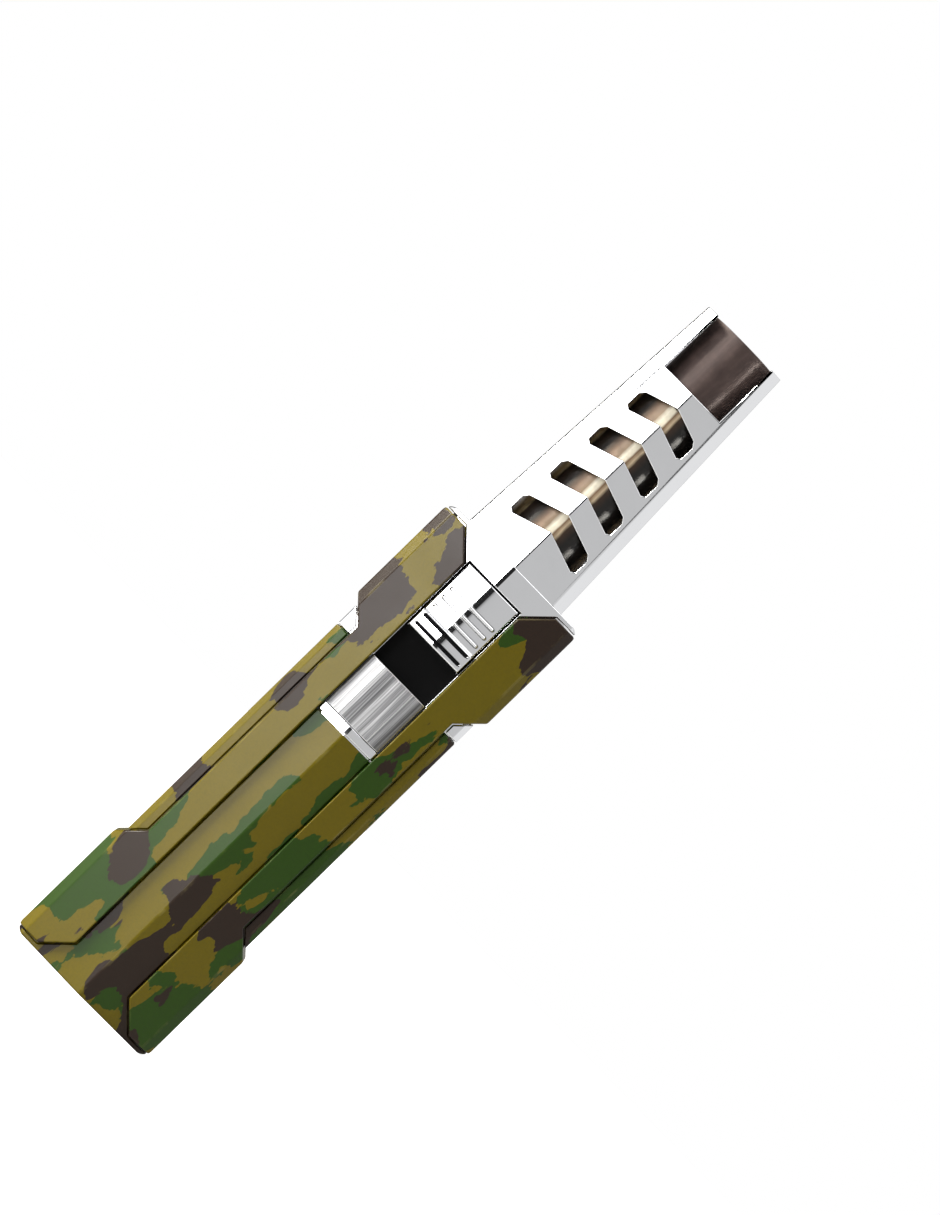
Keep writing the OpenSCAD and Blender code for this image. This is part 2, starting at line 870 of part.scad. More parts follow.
module piezo_case() {
    color("white")
        difference() {
            block(piezo_x, piezo_y, piezo_z, piezo_w, piezo_d, piezo_h);
            block(piezo_x, piezo_y, piezo_z + 2, plunger_w + 2 * run_gap + 0.5,
                plunger_d + 2 * run_gap + 0.5, piezo_h);
            translate([piezo_x, piezo_y, piezo_z - 1])
                cylinder(r = 0.5, h = 4);
            block(piezo_x, piezo_back_y, piezo_z + 1, 2.4, 0.6, piezo_h - 8);
        }
}

module piezo_plunger() {
    low = plunger_low_z;
    color("gainsboro")
        difference() {
            block(piezo_x, piezo_y, low, plunger_w, plunger_d, plunger_top_z - low);
            translate([piezo_x, piezo_y, low - 1])
                cylinder(r = 1.7, h = plunger_top_z - low - 0.5);
        }
}

module spring(r, wire_r, turns, h) {
    steps = turns * 12;
    sweep_tube([for (i = [0 : steps])
        let (a = 360 * turns * i / steps)
        [r * cos(a), r * sin(a), wire_r + (h - 2 * wire_r) * i / steps]], wire_r, 6);
}

// Return spring round the hammer spring, from the crystal's shoulder up to the plunger's foot
module plunger_spring() {
    low = piezo_z + 2 + crystal_h;
    color("silver")
        translate([piezo_x, piezo_y, low])
            spring(1.78, 0.16, 6, plunger_low_z - low);
}

module piezo_hammer() {
    color("darkgray")
        translate([piezo_x, piezo_y, hammer_z])
            cylinder(r = 1.4, h = hammer_h, $fn = 32);
}

module hammer_spring() {
    color("silver")
        translate([piezo_x, piezo_y, hammer_z + hammer_h])
            spring(1.1, 0.2, 7, plunger_top_z - 1.5 - hammer_z - hammer_h);
}

module piezo_crystal() {
    color("khaki")
        translate([piezo_x, piezo_y, piezo_z + 2])
            cylinder(r = 2, h = crystal_h, $fn = 32);
}

// Brass contact that brings the crystal's charge out to the lead
module piezo_contact() {
    color("goldenrod")
        union() {
            block(piezo_x, piezo_back_y + 0.25, piezo_z + 0.6, 2, 0.5, 2.2);
            block(piezo_x, piezo_back_y + 1, piezo_z + 1, 1.4, 1.2, 0.8);
        }
}

// Gas lever: an arm under the valve stem's collar and a tail with a nose that the finger wedges
module gas_lever() {
    hub_r = lever_pin_r + 0.7;
    color("silver")
        translate([valve_x - lever_w / 2, lever_pin_y, lever_pin_z])
            rotate([90, 0, 90])
                difference() {
                    union() {
                        cylinder(r = hub_r, h = lever_w);
                        translate([-lever_t / 2, -lever_tail - lever_t / 2, 0])
                            cube([lever_t, lever_tail + lever_t / 2, lever_w]);
                        translate([-lever_nose, -lever_tail - lever_t / 2, lever_w / 2 - 1])
                            cube([lever_nose, lever_t, 2]);
                        translate([0, -lever_t / 2, 0])
                            cube([lever_reach + 1.6, lever_t, lever_w]);
                    }
                    translate([0, 0, -1])
                        cylinder(r = lever_pin_r + run_gap, h = lever_w + 2);
                    translate([lever_reach, 3, lever_w / 2])
                        rotate([90, 0, 0])
                            cylinder(r = stem_r + move_gap, h = 6);
                    translate([lever_reach, -3, lever_w / 2 - stem_r - move_gap])
                        cube([3, 6, 2 * (stem_r + move_gap)]);
                }
}

module lever_pin() {
    color("dimgray")
        translate([valve_x - lever_w / 2 - bracket_gap - bracket_t, lever_pin_y, lever_pin_z])
            rotate([0, 90, 0])
                cylinder(r = lever_pin_r, h = lever_w + 2 * (bracket_gap + bracket_t));
}

// Folded bracket that stands on the tank lid and carries the lever's pin
module lever_bracket() {
    inner = lever_w / 2 + bracket_gap;
    depth = 3.6;
    color("slategray")
        difference() {
            union() {
                for (s = [-1, 1])
                    translate([valve_x + s * (inner + bracket_t / 2) - bracket_t / 2,
                        lever_pin_y - depth / 2, lid_top_z])
                        cube([bracket_t, depth, lever_pin_z - lid_top_z + 2]);
                translate([valve_x - inner - bracket_t, lever_pin_y - depth / 2, lid_top_z])
                    cube([2 * (inner + bracket_t), depth - 1.2, 1]);
            }
            translate([valve_x - 10, lever_pin_y, lever_pin_z])
                rotate([0, 90, 0])
                    cylinder(r = lever_pin_r + fit_gap / 4, h = 20);
        }
}

// Gas release valve

module release_valve() {
    color("goldenrod")
        translate([valve_x, valve_y, 0])
            difference() {
                union() {
                    translate([0, 0, lid_z - valve_foot_h])
                        cylinder(r = valve_r, h = valve_top_z - lid_z + valve_foot_h);
                    translate([0, 0, lid_top_z])
                        cylinder(r = valve_r + 0.7, h = 1.4, $fn = 6);
                }
                translate([0, 0, lid_z - valve_foot_h + 1])
                    cylinder(r = valve_r - 0.8, h = valve_top_z - 1.5 - (lid_z - valve_foot_h + 1));
                translate([0, 0, lid_z - valve_foot_h - 1])
                    cylinder(r = needle_r + run_gap, h = 4);
                translate([-valve_r - 1, 0, lid_z - valve_foot_h + 3.4])
                    rotate([0, 90, 0])
                        cylinder(r = 0.4, h = 2 * valve_r + 2);
                translate([0, 0, valve_top_z - 3])
                    cylinder(r = stem_r + run_gap, h = 4);
            }
}

// Stem with a collar that the lever lifts and a barb for the hose
module valve_stem() {
    low = valve_top_z - 6;
    color("gold")
        translate([valve_x, valve_y, 0])
            difference() {
                union() {
                    translate([0, 0, low])
                        cylinder(r = stem_r, h = stem_top_z - low);
                    translate([0, 0, low])
                        cylinder(r = valve_r - 0.8 - move_gap / 2, h = 1.2);
                    translate([0, 0, lever_pin_z + lever_t / 2 + 0.7])
                        cylinder(r = stem_r + 1.1, h = 1);
                }
                translate([0, 0, low + 2])
                    cylinder(r = 0.4, h = 30);
            }
}

module valve_spring() {
    low = valve_top_z - 6 + 1.2;
    color("silver")
        translate([valve_x, valve_y, low])
            spring(stem_r + 0.35, 0.18, 4, valve_top_z - 1.5 - low - seal_h - 0.02);
}

module ring(r_in, r_out, h) {
    difference() {
        cylinder(r = r_out, h = h);
        translate([0, 0, -1])
            cylinder(r = r_in, h = h + 2);
    }
}

module valve_seal() {
    color("black")
        translate([valve_x, valve_y, valve_top_z - 1.5 - seal_h])
            ring(stem_r + run_gap, valve_r - 0.8, seal_h);
}

// Porous pad that meters the liquid fuel, in the foot of the valve
module valve_filter() {
    color("whitesmoke")
        translate([valve_x, valve_y, lid_z - valve_foot_h + 1])
            cylinder(r = valve_r - 0.8 - fit_gap / 2, h = 1.5);
}

// Fuel tank
module tank_prism(z0, z1, inset) {
    handle_prism(z0, z1, -inset, -inset, casing_corner);
}

module fuel_tank() {
    color("lightyellow")
        difference() {
            union() {
                difference() {
                    tank_prism(tank_z, lid_z - gasket_t, tank_inset);
                    tank_prism(tank_z + tank_floor, lid_z + 1, tank_inset + tank_wall);
                }
                translate([-port_x, port_y, tank_z])
                    cylinder(r = gland_r + 1, h = refill_h - 1);
                translate([port_x, port_y, tank_z])
                    cylinder(r = shaft_r + 1.2, h = shaft_top_z - 0.3 - tank_z);
                for (y = [-base_screw_y, base_screw_y])
                    translate([0, y, tank_z])
                        cylinder(r = 1.9, h = 6);
            }
            translate([-port_x, port_y, tank_z - 1])
                cylinder(r = gland_r + fit_gap / 2, h = refill_h + 1);
            translate([port_x, port_y, tank_z - 1])
                cylinder(r = shaft_r + run_gap, h = tank_h + 2);
            translate([port_x, port_y, tank_z - 1])
                cylinder(r = shaft_r + 1, h = 1 + 1.2);
            for (y = [-base_screw_y, base_screw_y])
                translate([0, y, tank_z - 1])
                    cylinder(r = screw_r + fit_gap / 2, h = 5.5);
        }
}

module tank_gasket() {
    color("black")
        difference() {
            tank_prism(lid_z - gasket_t, lid_z, tank_inset);
            tank_prism(lid_z - 1, lid_z + 1, tank_inset + tank_wall);
        }
}

module tank_lid() {
    color("lightyellow")
        difference() {
            tank_prism(lid_z, lid_top_z, tank_inset);
            translate([valve_x, valve_y, lid_z - 1])
                cylinder(r = valve_r + fit_gap / 2, h = lid_t + 2);
        }
}

// Flame adjuster: knob in the base, shaft up through the tank to the metering valve
module adjuster_knob() {
    knob_z = base_in_z + 0.2;
    knob_h = base_t - 0.2 - move_gap;
    color("firebrick")
        translate([port_x, port_y, knob_z])
            difference() {
                cylinder(r = knob_r, h = knob_h);
                translate([-knob_r, -0.45, -1])
                    cube([2 * knob_r, 0.9, 1.9]);
                translate([0, 0, 1.2])
                    cylinder(r = shaft_r, h = 2);
            }
}

module adjuster_shaft() {
    low = base_in_z + 0.2 + 1.2;
    color("silver")
        translate([port_x, port_y, 0])
            union() {
                translate([0, 0, low])
                    cylinder(r = shaft_r, h = shaft_top_z - low);
                translate([0, 0, shaft_top_z - eps])
                    cylinder(r = needle_r, h = 1.4);
            }
}

module adjuster_seal() {
    color("black")
        translate([port_x, port_y, tank_z])
            ring(shaft_r + run_gap, shaft_r + 1, 1.2);
}

// Refill valve: a brass body with a mouth, a sprung stem and a seal
module refill_valve() {
    color("goldenrod")
        translate([-port_x, port_y, base_in_z])
            difference() {
                union() {
                    cylinder(r = gland_r + 0.7, h = base_t);
                    cylinder(r = gland_r, h = base_t + refill_h);
                }
                translate([0, 0, -1])
                    cylinder(r = mouth_r, h = refill_mouth_h + 1);
                translate([0, 0, refill_mouth_h])
                    cylinder(r = refill_stem_r + run_gap, h = 4);
                translate([0, 0, refill_mouth_h + 1])
                    cylinder(r = gland_r - 0.7, h = refill_h + base_t);
            }
}

module refill_stem() {
    low = base_in_z + refill_mouth_h;
    flange_z = base_in_z + refill_mouth_h + 1 + seal_h;
    color("silver")
        translate([-port_x, port_y, 0])
            difference() {
                union() {
                    translate([0, 0, low])
                        cylinder(r = refill_stem_r, h = flange_z - low + 4.5);
                    translate([0, 0, flange_z + move_gap / 2])
                        cylinder(r = gland_r - 0.7 - move_gap / 2, h = 0.8);
                }
                translate([0, 0, low - 1])
                    cylinder(r = 0.4, h = 2.2);
            }
}

module refill_spring() {
    low = base_in_z + refill_mouth_h + 1 + seal_h + move_gap / 2 + 0.8;
    color("silver")
        translate([-port_x, port_y, low])
            spring(refill_stem_r + 0.4, 0.18, 4, base_in_z + base_t + refill_h - 0.8 - low);
}

module refill_seal() {
    color("black")
        translate([-port_x, port_y, base_in_z + refill_mouth_h + 1])
            ring(refill_stem_r + run_gap, gland_r - 0.7, seal_h);
}

// Base plate set into the foot of the casing
module base_plate() {
    color("dimgray")
        difference() {
            handle_prism(base_in_z, base_in_z + base_t, -wall - fit_gap, -wall - fit_gap, casing_corner);
            translate([-port_x, port_y, 0])
                cylinder(r = gland_r + 0.7 + fit_gap / 2, h = 10);
            translate([port_x, port_y, 0])
                cylinder(r = knob_r + 0.3, h = 10);
            for (y = [-base_screw_y, base_screw_y])
                translate([0, y, 0]) {
                    cylinder(r = screw_r + fit_gap, h = 10);
                    cylinder(r = screw_head_r + fit_gap, h = base_in_z + 1.4);
                }
        }
}

module base_screws() {
    color("dimgray")
        for (y = [-base_screw_y, base_screw_y])
            translate([0, y, base_in_z + 1.4])
                screw(screw_r, base_t - 1.4 + 4, screw_head_r, 1.2);
}

body_casing();
left_grip();
right_grip();
upper_chassis();
front_plate();
nozzle_shroud();
shroud_screws();
heat_shield();
flame_guard();
burner_tube();
burner_disc();
burner_base();
gas_jet();
gas_hose();
electrode();
ceramic_insulator();
ignition_lead();
thumb_slide();
slide_carrier();
slide_screws();
piezo_case();
piezo_plunger();
plunger_spring();
piezo_hammer();
hammer_spring();
piezo_crystal();
piezo_contact();
gas_lever();
lever_pin();
lever_bracket();
release_valve();
valve_stem();
valve_spring();
valve_seal();
valve_filter();
fuel_tank();
tank_lid();
tank_gasket();
adjuster_knob();
adjuster_shaft();
adjuster_seal();
refill_valve();
refill_stem();
refill_spring();
refill_seal();
base_plate();
base_screws();
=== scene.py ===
import json
import math

import bmesh
import bpy
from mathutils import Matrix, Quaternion, Vector
from mathutils.bvhtree import BVHTree


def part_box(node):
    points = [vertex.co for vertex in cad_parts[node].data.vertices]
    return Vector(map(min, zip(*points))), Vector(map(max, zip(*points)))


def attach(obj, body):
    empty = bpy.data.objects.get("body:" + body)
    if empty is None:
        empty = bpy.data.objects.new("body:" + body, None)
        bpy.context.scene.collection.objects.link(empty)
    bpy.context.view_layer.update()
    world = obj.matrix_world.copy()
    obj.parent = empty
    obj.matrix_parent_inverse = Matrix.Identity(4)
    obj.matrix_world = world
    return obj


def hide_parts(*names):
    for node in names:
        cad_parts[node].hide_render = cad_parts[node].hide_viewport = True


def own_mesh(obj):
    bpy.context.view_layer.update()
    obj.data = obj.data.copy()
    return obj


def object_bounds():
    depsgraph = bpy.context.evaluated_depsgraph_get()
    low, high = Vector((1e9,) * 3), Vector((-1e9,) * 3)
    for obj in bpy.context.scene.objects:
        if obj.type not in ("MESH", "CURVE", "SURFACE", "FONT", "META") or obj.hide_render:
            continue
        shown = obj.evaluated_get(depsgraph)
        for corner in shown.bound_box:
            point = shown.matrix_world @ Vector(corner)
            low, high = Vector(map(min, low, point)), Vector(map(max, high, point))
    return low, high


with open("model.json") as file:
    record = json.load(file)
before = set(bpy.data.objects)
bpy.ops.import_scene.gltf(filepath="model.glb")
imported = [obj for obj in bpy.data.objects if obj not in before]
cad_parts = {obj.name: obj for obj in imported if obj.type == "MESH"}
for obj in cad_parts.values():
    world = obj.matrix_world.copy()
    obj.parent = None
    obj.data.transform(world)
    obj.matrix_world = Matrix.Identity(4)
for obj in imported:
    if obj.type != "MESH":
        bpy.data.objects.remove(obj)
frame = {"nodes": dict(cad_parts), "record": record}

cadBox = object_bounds()
mm = 0.001
nodes = frame["nodes"]
behaviour = frame["record"]["behaviour"]
bodyOf = {node: body for body, members in behaviour["bodies"].items() for node in members}
slotOf = {part["node"]: part["material_slot"] for part in frame["record"]["subparts"]}
scene = bpy.context.scene
print("stage: frame loaded,", len(nodes), "nodes")


class Wire:  # a shader output that can be added, scaled and compared in Python
    def __init__(self, finish, socket):
        self.finish = finish
        self.socket = socket

    def maths(self, operation, first, second):
        return self.finish.maths(operation, first, second)

    def __add__(self, other):
        return self.maths("ADD", self, other)

    def __radd__(self, other):
        return self.maths("ADD", other, self)

    def __sub__(self, other):
        return self.maths("SUBTRACT", self, other)

    def __rsub__(self, other):
        return self.maths("SUBTRACT", other, self)

    def __mul__(self, other):
        return self.maths("MULTIPLY", self, other)

    def __rmul__(self, other):
        return self.maths("MULTIPLY", other, self)


class Finish:  # one material and the nodes it is made of
    def __init__(self, name):
        self.material = bpy.data.materials.new(name)
        self.material.use_nodes = True
        self.tree = self.material.node_tree
        self.tree.nodes.clear()
        self.output = self.tree.nodes.new("ShaderNodeOutputMaterial")
        self.shader = self.tree.nodes.new("ShaderNodeBsdfPrincipled")
        self.tree.links.new(self.shader.outputs[0], self.output.inputs[0])
        self.place = self.node("ShaderNodeTexCoord", {}, {}, "Object")

    def feed(self, socket, value):
        if isinstance(value, Wire):
            self.tree.links.new(value.socket, socket)
        elif isinstance(value, (tuple, list)) and socket.type == "RGBA":
            socket.default_value = (*value[:3], 1.0)
        else:
            socket.default_value = value

    def node(self, kind, settings=None, sockets=None, output=0):
        made = self.tree.nodes.new(kind)
        for key, value in (settings or {}).items():
            if key == "stops":
                ramp = made.color_ramp
                while len(ramp.elements) < len(value):
                    ramp.elements.new(0.5)
                for element, (spot, colour) in zip(ramp.elements, value):
                    element.position = spot
                    element.color = (*colour, 1.0)
            else:
                setattr(made, key, value)
        for key, value in (sockets or {}).items():
            self.feed(made.inputs[key], value)
        return Wire(self, made.outputs[output])

    def set(self, **values):
        names = {"colour": "Base Color", "roughness": "Roughness", "metallic": "Metallic", "normal": "Normal",
                 "coat": "Coat Weight", "specular": "Specular IOR Level",
                 "glow": "Emission Color", "glowStrength": "Emission Strength"}
        for key, value in values.items():
            self.feed(self.shader.inputs[names[key]], value)
        return self.material

    def stretched(self, scale, shift=(0, 0, 0), turn=(0, 0, 0)):
        return self.node("ShaderNodeMapping", {}, {"Vector": self.place, "Scale": scale, "Location": shift,
                                                   "Rotation": turn})

    def noise(self, place, scale, detail=2, rough=0.5, warp=0.0):
        return self.node("ShaderNodeTexNoise", {}, {"Vector": place, "Scale": scale, "Detail": detail,
                                                    "Roughness": rough, "Distortion": warp})

    def between(self, value, low, high, outLow=0.0, outHigh=1.0):
        return self.node("ShaderNodeMapRange", {"interpolation_type": "SMOOTHSTEP"}, {
            "Value": value, "From Min": low, "From Max": high, "To Min": outLow, "To Max": outHigh})

    def mix(self, share, first, second):
        return self.node("ShaderNodeMix", {"data_type": "RGBA"}, {0: share, 6: first, 7: second}, 2)

    def ramp(self, value, stops):
        return self.node("ShaderNodeValToRGB", {"stops": stops}, {"Fac": value})

    def bump(self, height, strength, distance=0.0001):
        return self.node("ShaderNodeBump", {}, {"Height": height, "Strength": strength, "Distance": distance})

    def maths(self, operation, first, second):
        return self.node("ShaderNodeMath", {"operation": operation}, {0: first, 1: second})

    def edgeWear(self):  # 1 on the rounded edges of a piece: worn paint on the camo, painted highlight on the brushed plate
        return self.node("ShaderNodeAttribute", {"attribute_name": "edgeWear"}, {}, "Fac")


def srgb(red, green, blue):  # display colour to linear light
    return tuple(((c + 0.055) / 1.055) ** 2.4 if c > 0.04045 else c / 12.92 for c in (red, green, blue))


camoSettings = {
    "olive": (0.114, 0.086, 0.0015),
    "green": (0.019, 0.050, 0.0025),
    "brown": (0.022, 0.0125, 0.0085),
    "patchScale": 140.0,    # patches per metre across the torch
    "stretch": 0.45,        # how far a patch runs along the torch
    "raggedScale": 420.0,   # size of the torn outlines
    "ragged": 0.3,
    "greenLimit": 0.555,
    "brownLimit": 0.6,
    "border": 0.004,        # softness of a patch's outline
    "greenSpot": (0.31, 0.17, 0.43),
    "dust": (0.015, 0.014, 0.008), "shadow": (0.02, 0.02, 0.012), "worn": srgb(0.66, 0.62, 0.42),
    "roughness": 0.17,
    "specular": 0.2,
}


def makeCamo(name, shift, brownAt=(), greenAt=()):  # each band: its height, its reach, how much more colour
    cfg = camoSettings
    f = Finish(name)
    wide = f.stretched((1, 1, cfg["stretch"]), shift)
    fine = f.stretched((1, 1, 0.4), shift)
    ragged = f.noise(fine, cfg["raggedScale"], 3.0, 0.55, 0.3) - 0.5
    height = f.node("ShaderNodeSeparateXYZ", {}, {0: f.place}, 2)
    masks = []
    for spot, limit, band in (((0, 0, 0), cfg["brownLimit"], brownAt),
                              (cfg["greenSpot"], cfg["greenLimit"], greenAt)):
        base = f.noise(f.node("ShaderNodeVectorMath", {"operation": "ADD"}, {0: wide, 1: spot}),
                       cfg["patchScale"], 0.6, 0.4, 0.35)
        field = base + ragged * cfg["ragged"]
        for middle, reach, gain in band:
            away = f.maths("ABSOLUTE", height - middle, 0)
            field = field + f.between(away, reach, reach * 0.4, 0.0, gain)
        masks.append(f.between(field, limit - cfg["border"], limit + cfg["border"]))
    brownMask, greenMask = masks
    colour = f.mix(greenMask, cfg["olive"], cfg["green"])
    colour = f.mix(brownMask, colour, cfg["brown"])
    grain = f.noise(f.place, 2600, 2, 0.6)
    cloud = f.noise(f.place, 150, 3)
    colour = f.mix(f.between(grain, 0.35, 0.7) * 0.10, colour, cfg["dust"])
    colour = f.mix(cloud * 0.12, colour, cfg["shadow"])
    worn = f.edgeWear() * f.between(f.noise(f.place, 170, 4), 0.5, 0.62)
    colour = f.mix(worn * 0.1, colour, cfg["worn"])
    return f.set(colour=colour, roughness=cloud * 0.1 + cfg["roughness"], specular=cfg["specular"],
                 normal=f.bump(grain, 0.08, 0.00004))


# groove: colour of the painted shade on the slide's groove floors and round its ribs
chromeSettings = {"tone": (0.90, 0.905, 0.92), "roughness": 0.045, "groove": (0.02, 0.02, 0.022)}


def makeChrome(name, grooved=False):
    cfg = chromeSettings
    f = Finish(name)
    haze = f.noise(f.place, 180, 4, 0.6)
    scratches = f.noise(f.stretched((1, 1, 0.03), turn=(0.05, 0.12, 0)), 5200, 2, 0.5)
    smear = f.between(haze, 0.4, 0.8)
    tone = f.mix(smear * 0.25, cfg["tone"], tuple(channel * 0.95 for channel in cfg["tone"]))
    rough = smear * 0.03 + cfg["roughness"]
    if grooved:
        # painted shade from the slide's mesh: dark groove floors and dark lines round the ribs
        shade = f.node("ShaderNodeAttribute", {"attribute_name": "grooveShade"}, {}, "Fac")
        tone = f.mix(shade, tone, cfg["groove"])
        rough = rough + shade * 0.4
    return f.set(colour=tone, metallic=1.0, roughness=rough,
                 normal=f.bump(scratches, 0.015, 0.00002))


brushedSettings = {
    "tones": [(0.36, srgb(0.38, 0.38, 0.39)), (0.52, srgb(0.64, 0.64, 0.65)), (0.66, srgb(0.88, 0.88, 0.89))],
    # colour of the painted highlight laid on the plate's rounded edges
    "paintedCreaseHighlight": srgb(0.97, 0.97, 0.97),
    "roughness": 0.44,
}


def makeBrushed(name):
    cfg = brushedSettings
    f = Finish(name)
    long = f.noise(f.stretched((1, 1, 0.012)), 4200, 3, 0.7)
    broad = f.noise(f.stretched((1, 1, 0.02)), 900, 2, 0.5)
    tone = f.ramp(long * 0.55 + broad * 0.45, cfg["tones"])
    # painted highlight: the plate's rounded edges are mixed towards near white and made less rough
    paintedCreaseHighlight = f.edgeWear()
    tone = f.mix(paintedCreaseHighlight * 0.85, tone, cfg["paintedCreaseHighlight"])
    return f.set(colour=tone, metallic=1.0, roughness=long * 0.2 + (cfg["roughness"] - paintedCreaseHighlight * 0.2),
                 normal=f.bump(long, 0.3, 0.00003))


tintAndReflectionSettings = {  # heat-tint colours with painted highlight and painted reflection bands, from the shield's left edge, 0, to its right edge, 1
    "radius": 7.35 * mm,
    "tintAndReflectionBands": [(0.0, srgb(0.70, 0.58, 0.40)), (0.085, srgb(0.86, 0.76, 0.58)), (0.115, srgb(0.16, 0.11, 0.08)),
              (0.24, srgb(0.10, 0.08, 0.06)), (0.33, srgb(0.42, 0.33, 0.25)), (0.41, srgb(0.50, 0.42, 0.33)),
              (0.455, srgb(0.97, 0.94, 0.86)), (0.505, srgb(0.95, 0.91, 0.82)),
              (0.53, srgb(0.50, 0.38, 0.28)), (0.575, srgb(0.80, 0.72, 0.60)),
              (0.61, srgb(0.24, 0.17, 0.12)), (0.70, srgb(0.07, 0.06, 0.05)),
              (0.93, srgb(0.09, 0.07, 0.06)), (0.97, srgb(0.62, 0.55, 0.45))],
    "soot": (0.02, 0.015, 0.012),
}


def makeHeatTintAndReflection(name):
    cfg = tintAndReflectionSettings
    f = Finish(name)
    across = f.node("ShaderNodeSeparateXYZ", {}, {0: f.place}, 0)
    waver = f.noise(f.stretched((1, 1, 0.3)), 500, 3, 0.6) - 0.5
    share = across * (0.5 / cfg["radius"]) + 0.5 + waver * 0.05
    # painted highlights and painted reflections: light and dark bands across the tube from left to right, over
    # its heat-tint colours
    tintAndReflectionBands = f.ramp(share, cfg["tintAndReflectionBands"])
    soot = f.noise(f.place, 260, 4, 0.6)
    tone = f.mix(f.between(soot, 0.4, 0.7) * 0.3, tintAndReflectionBands, cfg["soot"])
    return f.set(colour=tone, metallic=0.25, roughness=soot * 0.2 + 0.25, normal=f.bump(waver, 0.08, 0.00004))


def makeMetal(name, dark, light, roughness, scale=240, turned=False):  # brass, bronze and steels
    f = Finish(name)
    cloud = f.noise(f.place, scale, 4, 0.6)
    rings = f.noise(f.stretched((0.02, 0.02, 1)) if turned else f.place, 6000 if turned else 1500, 2, 0.5)
    tone = f.ramp(cloud * 0.75 + rings * 0.25, [(0.35, dark), (0.65, light)])
    return f.set(colour=tone, metallic=1.0, roughness=cloud * 0.2 + (roughness - 0.1),
                 normal=f.bump(rings, 0.12, 0.00003))


guardTones = [(0.32, srgb(0.22, 0.17, 0.16)), (0.5, srgb(0.27, 0.215, 0.20)), (0.68, srgb(0.33, 0.27, 0.255))]


def makeHeatBrown(name):
    f = Finish(name)
    cloud = f.noise(f.place, 320, 4, 0.65)
    streak = f.noise(f.stretched((1, 1, 0.08)), 900, 3, 0.6)
    tone = f.ramp(cloud * 0.6 + streak * 0.4, guardTones)
    return f.set(colour=tone, metallic=0.35, roughness=cloud * 0.25 + 0.38,
                 normal=f.bump(cloud, 0.2, 0.00004))


def makePlastic(name, colour, roughness, grain=1400, coat=0.0, depth=0.00005, specular=0.5):
    f = Finish(name)
    skin = f.noise(f.place, grain, 3, 0.6)
    cloud = f.noise(f.place, 160, 3)
    tone = f.mix(cloud * 0.5, colour, tuple(channel * 0.72 for channel in colour))
    return f.set(colour=tone, metallic=0.0, roughness=cloud * 0.12 + (roughness - 0.06), coat=coat,
                 specular=specular, normal=f.bump(skin, 0.25, depth))


finishes = {
    "chrome": makeChrome("polishedChrome"),
    "brushed_steel": makeBrushed("brushedPlateSteel"),
    "bronze": makeHeatTintAndReflection("heatTintedBronzeWithPaintedReflection"),
    "heat_brown": makeHeatBrown("heatBrownedSteel"),
    "brass": makeMetal("turnedBrass", srgb(0.62, 0.47, 0.20), srgb(0.90, 0.76, 0.42), 0.24, 300, turned=True),
    "black_plastic": makePlastic("blackCarrierPlastic", (0.002, 0.002, 0.0022), 0.5, specular=0.08),
    "white_plastic": makePlastic("igniterCasePlastic", srgb(0.90, 0.89, 0.85), 0.35, 900, 0.1),
    "lead_plastic": makePlastic("leadJacket", srgb(0.62, 0.08, 0.06), 0.4, 900, 0.1),
    "red_plastic": makePlastic("adjusterPlastic", srgb(0.70, 0.10, 0.08), 0.38, 1200, 0.1),
    "tank_plastic": makePlastic("tankPlastic", srgb(0.86, 0.83, 0.72), 0.3, 700, 0.2),
    "black_rubber": makePlastic("blackSealRubber", (0.018, 0.018, 0.018), 0.62, 2200, depth=0.00008),
    "ceramic": makePlastic("glazedCeramic", srgb(0.94, 0.92, 0.87), 0.22, 600, 0.4),
    "felt": makePlastic("porousPad", srgb(0.86, 0.84, 0.78), 0.85, 3200, depth=0.0002),
    "spring_steel": makeMetal("brightSteel", srgb(0.55, 0.56, 0.58), srgb(0.86, 0.87, 0.89), 0.26, 400),
    "dark_steel": makeMetal("blackenedSteel", srgb(0.16, 0.16, 0.17), srgb(0.36, 0.36, 0.38), 0.34, 400),
}
camoPieces = {
    "body_casing": makeCamo("camoBody", (0.0, 0.0, 0.0), [(0.007, 0.011, 0.14)]),
    "left_grip": makeCamo("camoLeftGrip", (0.11, 0.0, 0.05), [(0.090, 0.016, 0.17), (0.05, 0.03, -0.1)],
                          [(0.014, 0.016, 0.08), (0.088, 0.01, -0.2)]),
    "right_grip": makeCamo("camoRightGrip", (0.27, 0.0, 0.12), [(0.099, 0.008, 0.2), (0.012, 0.014, -0.2)],
                           [(0.008, 0.01, 0.2), (0.08, 0.02, -0.12)]),
}
print("stage: finishes made")


def finishFor(node):
    return camoPieces.get(node) or finishes[slotOf[node]]


def dress(piece, node, material=None):  # gives a new piece its finish and its place, and hides the node it stands for
    piece.data.materials.clear()
    piece.data.materials.append(material or finishFor(node))
    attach(piece, bodyOf[node])
    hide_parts(node)
    return piece


def settle(obj):  # modifiers into a plain mesh
    view = bpy.context.evaluated_depsgraph_get()
    mesh = bpy.data.meshes.new_from_object(obj.evaluated_get(view), depsgraph=view)
    obj.modifiers.clear()
    obj.data = mesh
    return obj


def mergedCopy(node, name):
    mesh = nodes[node].data.copy()
    mesh.name = name
    work = bmesh.new()
    work.from_mesh(mesh)
    bmesh.ops.remove_doubles(work, verts=work.verts, dist=1e-6)
    bmesh.ops.dissolve_limit(work, angle_limit=math.radians(1.0), verts=work.verts, edges=work.edges)
    return mesh, work


